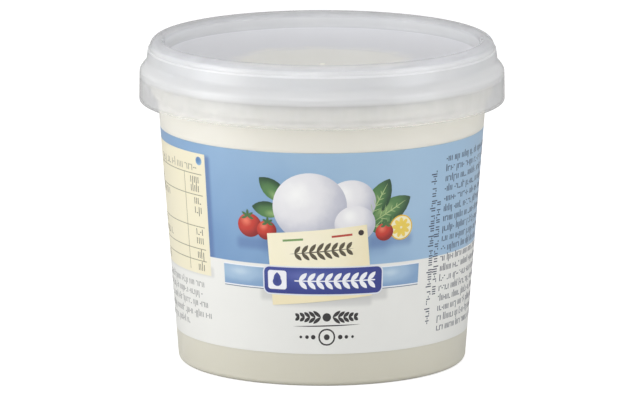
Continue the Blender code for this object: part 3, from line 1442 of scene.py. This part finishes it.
@dataclass
class FactsCard:
    """The cream card of the pack's facts, at the left and round the back: ruled rows, a column and a punched hole."""

    right: float = -33.0
    left: float = -84.0
    bottom: float = 27.5
    top: float = 60.3
    rules: tuple[float, ...] = (54.6, 48.9, 40.3, 34.3, 31.1)
    rows: tuple[float, ...] = (53.0, 50.6, 47.3, 44.8, 38.9, 36.5, 32.6, 29.3)
    rule_half: float = 0.11
    column: float = -42.0
    column_half: float = 0.1
    column_foot: float = 0.8
    margin: float = 1.5
    hole_inset: Point = (2.3, 2.0)
    hole_half: Point = (1.15, 1.15)
    figures: tuple[float, ...] = (4.6, 4.6, 3.4, 3.4, 3.4, 3.4, 3.4, 3.4)
    label_start: float = 3.0
    label_ends: tuple[float, ...] = (22.0, 27.0, 32.0)
    heading_start: float = -58.0
    heading_rise: float = 1.6

    def build(self) -> None:
        """Makes and dresses the card."""
        corners = ((self.left, self.bottom), (self.right, self.bottom), (self.right, self.top), (self.left, self.top))
        cream = InkFinish("card_cream", srgb(237, 230, 202), mottle=0.05)
        FlatPrint("card_paper", 1).patch(corners).lay(cream.material())
        blue = InkFinish("hole_blue", srgb(96, 138, 184), srgb(84, 118, 166), srgb(132, 172, 208), Shading.ROUND)
        hole = (self.right - self.hole_inset[0], self.top - self.hole_inset[1])
        Spot("card_hole", 2, hole, self.hole_half).lay(blue.material())
        self._ruling()
        self._rows()

    def _ruling(self) -> None:
        """Rules the card's rows and its column."""
        ruling = FlatPrint("card_ruling", 2)
        middle = (self.left + self.right) / 2
        half = (self.right - self.left) / 2 - self.margin
        for up in self.rules:
            ruling.bar((middle, up), (half, self.rule_half))
        upright = (self.rules[0] + self.bottom + self.column_foot) / 2
        ruling.bar((self.column, upright), (self.column_half, self.rules[0] - upright))
        ruling.lay(InkFinish("ruling_brown", srgb(150, 146, 120), mottle=0.2).material())

    def _rows(self) -> None:
        """Fills the card's rows, and the heading over them."""
        rows = FlatPrint("card_rows", 2)
        words = SmallPrint(rows, 11, 1.7, 0.28, 0.8)
        end = self.right - self.margin
        for up, figure, label_end in zip(self.rows, self.figures, itertools.cycle(self.label_ends)):
            words.line(end - figure, end, up)
            words.line(self.left + self.label_start, self.left + label_end, up)
        SmallPrint(rows, 12, 1.6, 0.22, 0.8).line(self.heading_start, end, self.rules[0] + self.heading_rise)
        rows.lay(InkFinish("row_grey", srgb(112, 108, 94), mottle=0.2).material())


@dataclass
class Notices:
    """The small print on the white and blue grounds, at both sides and round the back."""

    top: float = 58.8
    pitch: float = 2.7
    lines: int = 18
    first_column: Point = (36.0, 76.0)
    second_column: Point = (82.0, 118.0)
    upright_lines: tuple[tuple[float, float, float], ...] = ((14.9, 56.6, 31.8), (22.6, 48.7, 33.8))
    leaflet_start: float = -82.0
    leaflet: tuple[Point, ...] = ((-35.7, 24.6), (-36.6, 22.0), (-34.6, 19.2), (-32.8, 16.4), (-43.1, 13.6))

    def build(self) -> None:
        """Makes and dresses the small print."""
        dark = FlatPrint("notice_print", 1)
        words = SmallPrint(dark, 21, 1.35, 0.3, 0.68)
        for i in range(self.lines):
            up = self.top - self.pitch * i
            words.line(self.first_column[0], self.first_column[1] - 4.0 * (i % 4 == 3), up)
            if i % 9 != 8:
                words.line(self.second_column[0], self.second_column[1] - 6.0 * (i % 5 == 4), up)
        for start, end, across in self.upright_lines:
            words.line(start, end, across, upright=True)
        dark.lay(InkFinish("notice_ink", srgb(56, 62, 84), mottle=0.2).material())
        pale = FlatPrint("leaflet_print", 1)
        words = SmallPrint(pale, 31, 1.35, 0.24, 0.68)
        for end, up in self.leaflet:
            words.line(self.leaflet_start, end, up)
        pale.lay(InkFinish("leaflet_ink", srgb(116, 116, 118), mottle=0.2).material())


@dataclass
class CheesePicture:
    """The printed picture: plain round cheeses with tomatoes, basil and a lemon slice."""

    basil: tuple[tuple[Point, float, float, float], ...] = (
        ((12.0, 45.0), 12.0, 6.0, 62.0),
        ((13.0, 44.0), 12.5, 6.4, 30.0),
        ((12.0, 43.0), 11.0, 5.6, 2.0),
        ((-9.0, 50.0), 9.5, 5.0, 140.0),
        ((-10.0, 47.0), 8.6, 4.4, 172.0),
    )
    midribs: tuple[tuple[Point, float, float], ...] = (
        ((12.4, 45.6), 10.0, 62.0),
        ((13.6, 44.4), 10.4, 30.0),
        ((12.6, 43.0), 9.0, 2.0),
    )
    balls: tuple[Spot, ...] = (
        Spot("picture_cheese_back", 3, (7.4, 49.6), (6.6, 6.2), 0.0, 48),
        Spot("picture_cheese_large", 4, (-3.2, 48.6), (9.6, 9.2), 6.0, 48),
        Spot("picture_cheese_front", 5, (8.6, 44.0), (5.4, 4.9), -4.0, 48),
    )
    tomatoes: tuple[Spot, ...] = (
        Spot("picture_tomato_left", 6, (-19.4, 43.0), (3.4, 3.2)),
        Spot("picture_tomato_right", 7, (-14.6, 42.0), (2.7, 2.6)),
        Spot("picture_tomato_far", 6, (16.6, 41.4), (2.5, 2.4)),
    )
    calyces: tuple[tuple[Point, float], ...] = (((-19.9, 45.4), 1.9), ((-14.3, 44.0), 1.6), ((16.9, 43.3), 1.5))
    lemon: Point = (21.4, 42.2)
    rind: Point = (3.4, 3.4)
    pith: Point = (3.05, 3.05)
    segment: Point = (1.2, 0.57)
    segments: int = 9

    def build(self) -> None:
        """Makes and dresses the picture."""
        self._greens()
        self._cheeses()
        self._tomatoes()
        self._lemon()

    def _greens(self) -> None:
        """Prints a fan of basil leaves behind the cheeses, with pale veins."""
        leaves = FlatPrint("picture_basil", 2)
        for leaf in self.basil:
            leaves.leaf(*leaf)
        tones = (srgb(84, 128, 76), srgb(140, 172, 110), srgb(44, 76, 52))
        leaves.lay(InkFinish("basil_green", *tones, Shading.ROUND, 0.25).material())
        veins = FlatPrint("picture_basil_veins", 3)
        for root, length, tilt in self.midribs:
            veins.leaf(root, length, 0.3, tilt)
            for i in range(1, 5):
                for side in (-42.0, 42.0):
                    veins.leaf(along(root, length * i / 6, tilt), 2.6 - 0.35 * i, 0.2, tilt + side)
        veins.lay(InkFinish("vein_green", srgb(170, 192, 132), mottle=0.2).material())

    def _cheeses(self) -> None:
        """Prints three white balls, the smaller ones leaning on the large one."""
        tones = (srgb(232, 231, 234), srgb(248, 248, 247), srgb(186, 188, 202))
        white = InkFinish("cheese_white", *tones, Shading.ROUND, 0.05).material()
        for ball in self.balls:
            ball.lay(white)

    def _tomatoes(self) -> None:
        """Prints three cherry tomatoes with green calyces."""
        tones = (srgb(196, 58, 44), srgb(232, 120, 96), srgb(138, 34, 32))
        red = InkFinish("tomato_red", *tones, Shading.ROUND, 0.12).material()
        for fruit in self.tomatoes:
            fruit.lay(red)
        calyx = FlatPrint("picture_calyx", 8)
        for centre, reach in self.calyces:
            for tilt in (-20, 35, 90, 145, 200):
                calyx.leaf(centre, reach, 0.7, tilt)
        calyx.lay(InkFinish("calyx_green", srgb(74, 112, 66), mottle=0.3).material())

    def _lemon(self) -> None:
        """Prints a lemon slice at the right, with rind, pith and flesh."""
        rind = InkFinish("lemon_rind", srgb(226, 184, 52), mottle=0.15)
        Spot("picture_lemon_rind", 4, self.lemon, self.rind).lay(rind.material())
        pith = InkFinish("lemon_pith", srgb(240, 232, 196), mottle=0.1)
        Spot("picture_lemon_pith", 5, self.lemon, self.pith).lay(pith.material())
        flesh = FlatPrint("picture_lemon_flesh", 6)
        for i in range(self.segments):
            tilt = 360.0 / self.segments * i + 12.0
            flesh.disc(along(self.lemon, 1.5, tilt), self.segment, tilt, 14)
        flesh.lay(InkFinish("lemon_flesh", srgb(232, 202, 84), mottle=0.3).material())


@dataclass
class Tag:
    """The cream paper tag in the middle, a little askew, with a plain sprig, two stripes and a punched hole."""

    corners: tuple[Point, ...] = ((-13.4, 21.9), (13.6, 24.5), (11.7, 43.7), (-14.5, 41.2))
    tilt: float = 5.4
    hole: Point = (10.2, 41.6)
    hole_half: Point = (0.75, 0.75)
    stem: Point = (-8.6, 35.9)
    stem_length: float = 17.0
    stem_width: float = 0.32
    pairs: int = 8
    first_pair: float = 1.4
    pair_pitch: float = 1.95
    leaf_length: float = 3.1
    leaf_loss: float = 0.18
    leaf_width: float = 1.05
    leaf_tilt: float = 48.0
    stripe_half: Point = (2.7, 0.28)
    stripes: tuple[tuple[str, Point, Colour], ...] = (
        ("tag_stripe_green", (-7.6, 39.7), srgb(122, 158, 96)),
        ("tag_stripe_red", (5.2, 40.95), srgb(186, 74, 60)),
    )

    def build(self) -> None:
        """Makes and dresses the tag."""
        tones = (srgb(247, 240, 211), srgb(249, 242, 217), srgb(240, 228, 190))
        cream = InkFinish("tag_cream", *tones, Shading.ROUND, 0.06)
        FlatPrint("tag_paper", 9).patch(self.corners).lay(cream.material())
        Spot("tag_hole", 10, self.hole, self.hole_half).lay(InkFinish("hole_dark", srgb(58, 48, 46)).material())
        self._sprig()
        for name, centre, colour in self.stripes:
            stripe = FlatPrint(name, 10).bar(centre, self.stripe_half, 0.0, self.tilt)
            stripe.lay(InkFinish(name, colour, mottle=0.2).material())

    def _sprig(self) -> None:
        """Prints a sprig of paired leaves, the fourth pair of them the largest."""
        sprig = FlatPrint("tag_sprig", 10).leaf(self.stem, self.stem_length, self.stem_width, self.tilt)
        for i in range(self.pairs):
            foot = along(self.stem, self.first_pair + self.pair_pitch * i, self.tilt)
            length = self.leaf_length - self.leaf_loss * abs(i - 3)
            for side in BOTH_SIDES:
                sprig.leaf(foot, length, self.leaf_width, self.tilt + side * self.leaf_tilt)
        sprig.lay(InkFinish("sprig_sepia", srgb(92, 84, 66), mottle=0.3).material())


@dataclass
class Ribbon:
    """The pale ribbon across the front, its halves tucked under the deep-blue banner."""

    left: float = -28.0
    right: float = 27.6
    bottom: float = 26.6
    top: float = 31.8
    tucked: float = 13.6
    banner_centre: Point = (0.3, 28.7)
    banner_half: Point = (15.9, 3.55)
    corner: float = 1.5
    keyline: float = 0.35
    square_at: Point = (-12.3, 0.1)
    square_half: Point = (2.55, 2.55)
    square_corner: float = 0.7
    laurel_left: float = 7.6
    laurel_right: float = 14.0
    laurel_pairs: int = 9
    laurel_length: float = 3.0
    laurel_width: float = 1.25
    laurel_tilt: float = 46.0

    def build(self) -> None:
        """Makes and dresses the ribbon and the banner."""
        middle = ((self.left + self.right) / 2, (self.bottom + self.top) / 2)
        half = ((self.right - self.left) / 2, (self.top - self.bottom) / 2)
        edge = FlatPrint("ribbon_edge", 2).bar((middle[0], middle[1] - 0.05), (half[0], half[1] + 0.3))
        edge.lay(InkFinish("ribbon_white", srgb(236, 238, 242)).material())
        shadow = FlatPrint("ribbon_shadow", 1).bar((middle[0], self.bottom - 0.42), (half[0], 0.16))
        shadow.lay(InkFinish("ribbon_slate", srgb(104, 118, 140)).material())
        band = FlatPrint("ribbon_band", 3)
        for end, inner in ((self.left, -self.tucked), (self.right, self.tucked)):
            band.bar(((end + inner) / 2, middle[1]), (abs(end - inner) / 2, half[1]))
        tones = (srgb(160, 188, 214), srgb(188, 209, 226), srgb(130, 162, 198))
        band.lay(InkFinish("ribbon_blue", *tones, Shading.ROUND, 0.06).material())
        self._banner()
        self._device()

    def _banner(self) -> None:
        """Prints the banner and its keyline."""
        field = FlatPrint("banner_field", 11).bar(self.banner_centre, self.banner_half, self.corner)
        tones = (srgb(64, 76, 150), srgb(92, 104, 172), srgb(52, 62, 136))
        field.lay(InkFinish("banner_blue", *tones, Shading.ROUND, 0.08).material())
        outer = (self.banner_half[0] + self.keyline, self.banner_half[1] + self.keyline)
        line = FlatPrint("banner_keyline", 12).ring(self.banner_centre, outer, self.corner + 0.3, self.keyline)
        line.lay(InkFinish("keyline_silver", srgb(222, 226, 236)).material())

    def _device(self) -> None:
        """Prints a white square with a blue drop, and a white laurel beside it."""
        white = InkFinish("device_white", srgb(240, 241, 246)).material()
        across, up = self.banner_centre
        square = (across + self.square_at[0], up + self.square_at[1])
        FlatPrint("banner_square", 12).bar(square, self.square_half, self.square_corner).lay(white)
        drop = FlatPrint("banner_drop", 13).disc((square[0], square[1] - 0.5), (1.25, 1.2))
        drop.leaf((square[0], square[1] - 1.4), 3.4, 2.0, 90.0)
        drop.lay(InkFinish("drop_blue", srgb(64, 76, 150)).material())
        left = across - self.laurel_left
        right = across + self.laurel_right
        laurel = FlatPrint("banner_laurel", 12).bar(((left + right) / 2, up), ((right - left) / 2, 0.16))
        for i in range(self.laurel_pairs):
            foot = left + 1.2 + (right - left - 3.2) * i / (self.laurel_pairs - 1)
            for side in BOTH_SIDES:
                laurel.leaf((foot, up), self.laurel_length, self.laurel_width, side * self.laurel_tilt)
        laurel.lay(white)


@dataclass
class NameBlock:
    """The dark ornaments and the thin rule where the pack's name and weight would be."""

    centre: float = 1.3
    garland_up: float = 18.9
    rule_up: float = 16.35
    rule_half: float = 9.2
    weight_up: float = 13.5

    def build(self) -> None:
        """Makes and dresses the block."""
        dark = InkFinish("name_ink", srgb(52, 50, 50)).material()
        self._garland().lay(dark)
        rule = FlatPrint("name_rule", 1)
        rule.leaf((self.centre - self.rule_half, self.rule_up), 2 * self.rule_half, 0.34, 1.4).lay(dark)
        self._weight().lay(dark)

    def _garland(self) -> FlatPrint:
        """Draws a dot with leaves that get smaller to both sides.

        Returns:
            The drawing.
        """
        garland = FlatPrint("name_garland", 1)
        for i in range(5):
            for side, angle in zip(BOTH_SIDES, (140.0, 40.0)):
                foot = (self.centre + side * (1.6 + 1.45 * i), self.garland_up)
                for tilt in (angle, -angle):
                    garland.leaf(foot, 2.7 - 0.3 * i, 0.95, tilt)
        return garland.disc((self.centre, self.garland_up), (1.15, 1.15), 0.0, 24)

    def _weight(self) -> FlatPrint:
        """Draws a ring with a dot in it and smaller dots to both sides.

        Returns:
            The drawing.
        """
        middle = (self.centre, self.weight_up)
        ornament = FlatPrint("weight_ornament", 1).ring(middle, (2.3, 2.3), 2.2, 0.42)
        ornament.disc(middle, (0.8, 0.8), 0.0, 20)
        for side in BOTH_SIDES:
            for i in range(3):
                size = 0.62 - 0.12 * i
                ornament.disc((self.centre + side * (3.7 + 1.7 * i), self.weight_up), (size, size), 0.0, 16)
        return ornament


@dataclass
class Sleeve:
    """The in-mould label round the pot, with everything that is printed on it."""

    thickness: float = 0.25
    rows: int = 24
    seam_across: float = -122.0
    seam_width: float = 0.7
    seam_inset: float = 0.1

    def build(self) -> None:
        """Makes the film and prints it."""
        top = SHEET.top_height
        bottom = SHEET.base_height
        c = Contour(SHEET.radius_at(top), top)
        for i in range(1, self.rows + 1):
            height = top + (bottom - top) * i / self.rows
            c.to(SHEET.radius_at(height), height)
        c.to(SHEET.base_radius - self.thickness, bottom).to(SHEET.top_radius - self.thickness, top)
        film = c.turned("sleeve_film", FINE_STEPS, closed=True)
        dress(film, SleeveFinish().material(), "sleeve_print", "sleeve")
        self._seam()
        for part in (FactsCard(), Notices(), CheesePicture(), Tag(), Ribbon(), NameBlock()):
            part.build()

    def _seam(self) -> None:
        """Shows the pot as a narrow pale line where the label's ends meet, left of the middle of the back."""
        half_height = (SHEET.top_height - SHEET.base_height) / 2
        centre = (self.seam_across, SHEET.base_height + half_height)
        seam = FlatPrint("sleeve_seam", 1).bar(centre, (self.seam_width / 2, half_height - self.seam_inset))
        seam.lay(InkFinish("seam_white", srgb(230, 228, 220)).material())


# Studio


@dataclass(frozen=True)
class Softbox:
    """A soft light panel that faces a point on the tub's axis, in metres, degrees and watts."""

    name: str
    azimuth: float
    distance: float
    rise: float
    faces: float
    width: float
    height: float
    power: float

    def light(self) -> None:
        """Places the light."""
        data = bpy.data.lights.new(self.name, "AREA")
        data.shape = "RECTANGLE"
        data.size = self.width
        data.size_y = self.height
        data.energy = self.power
        lamp = bpy.data.objects.new(self.name, data)
        turn = math.radians(self.azimuth)
        lamp.location = (self.distance * math.sin(turn), -self.distance * math.cos(turn), self.rise)
        to_axis = Vector((0.0, 0.0, self.faces)) - lamp.location
        lamp.rotation_euler = to_axis.to_track_quat("-Z", "Y").to_euler()
        lamp.visible_camera = False
        bpy.context.scene.collection.objects.link(lamp)


@dataclass
class Studio:
    """The camera at the photograph's angle, soft lights and a pale floor."""

    elevation: float = 10.93
    distance: float = 2.0
    aim_height: float = 43.0
    lens: float = 422.7
    sensor: float = 36.0
    shift_x: float = -0.0031
    shift_y: float = -0.0028
    far: float = 20.0
    horizon: float = 0.77
    zenith: float = 0.49
    sky_turn: float = 0.42
    floor_radius: float = 6.0
    floor_glow: float = 0.7
    softboxes: tuple[Softbox, ...] = (
        Softbox("key_left", -68.0, 0.38, 0.175, 0.175, 0.24, 0.34, 0.76),
        Softbox("fill_right", 61.0, 0.38, 0.175, 0.175, 0.19, 0.34, 0.46),
        Softbox("front", -12.0, 0.9, 0.62, 0.05, 0.6, 0.5, 2.1),
        Softbox("overhead", 180.0, 0.05, 0.65, 0.08, 0.35, 0.35, 0.8),
    )

    def build(self) -> None:
        """Makes the studio."""
        view = bpy.context.scene.view_settings
        view.view_transform = "Standard"
        view.look = "None"
        self._camera()
        for softbox in self.softboxes:
            softbox.light()
        self._world()
        self._floor()

    def _camera(self) -> None:
        """Places the camera."""
        data = bpy.data.cameras.new("camera")
        data.lens = self.lens
        data.sensor_width = self.sensor
        data.shift_x = self.shift_x
        data.shift_y = self.shift_y
        data.clip_end = self.far
        camera = bpy.data.objects.new("camera", data)
        aim = Vector((0.0, 0.0, self.aim_height * MM))
        rise = math.radians(self.elevation)
        camera.location = aim + Vector((0.0, -math.cos(rise), math.sin(rise))) * self.distance
        camera.rotation_euler = (aim - camera.location).to_track_quat("-Z", "Y").to_euler()
        bpy.context.scene.collection.objects.link(camera)
        bpy.context.scene.camera = camera

    def _world(self) -> None:
        """Sets a white backdrop that lights the tub only softly, and more from the horizon than from above."""
        world = bpy.data.worlds.new("surround")
        world.use_nodes = True
        w = Wiring(world.node_tree)
        background = world.node_tree.nodes["Background"].inputs
        background["Color"].default_value = (1.0, 1.0, 1.0, 1.0)
        towards = w.add("ShaderNodeTexCoord").outputs["Generated"]
        rise = w.add("ShaderNodeSeparateXYZ", {"Vector": towards}).outputs["Z"]
        soft = w.ramp(rise, 0.0, self.sky_turn, self.horizon, self.zenith)
        seen = w.add("ShaderNodeLightPath").outputs["Is Camera Ray"]
        w.feed(background["Strength"], w.math("MAXIMUM", seen, soft))
        bpy.context.scene.world = world

    def _floor(self) -> None:
        """Lays a pale matt floor, which looks white where the camera sees it bare."""
        bm = bmesh.new()
        bmesh.ops.create_circle(bm, cap_ends=True, radius=self.floor_radius, segments=64)
        floor = finished(bm, "floor", smooth=False)
        fixed = {"Roughness": 0.9, "Specular IOR Level": 0.1, "Emission Strength": self.floor_glow}
        w = Recipe("floor_pale", fixed)
        w.join("Base Color", w.blend(w.noise(400.0), srgb(204, 204, 203), srgb(208, 208, 208)))
        path = w.add("ShaderNodeLightPath").outputs
        bare = w.math("LESS_THAN", path["Transparent Depth"], 0.5)
        seen = w.math("MULTIPLY", path["Is Camera Ray"], bare)
        w.join("Emission Color", w.blend(seen, (0.0, 0.0, 0.0), (1.0, 1.0, 1.0)))
        floor.data.materials.append(w.material)


def main() -> None:
    """Builds the tub and its studio in order."""
    logging.basicConfig(level=logging.INFO, format="%(name)s %(message)s")
    for part in (Pot(), Lid(), Contents(), Sleeve(), Studio()):
        part.build()


if __name__ == "__main__":
    main()
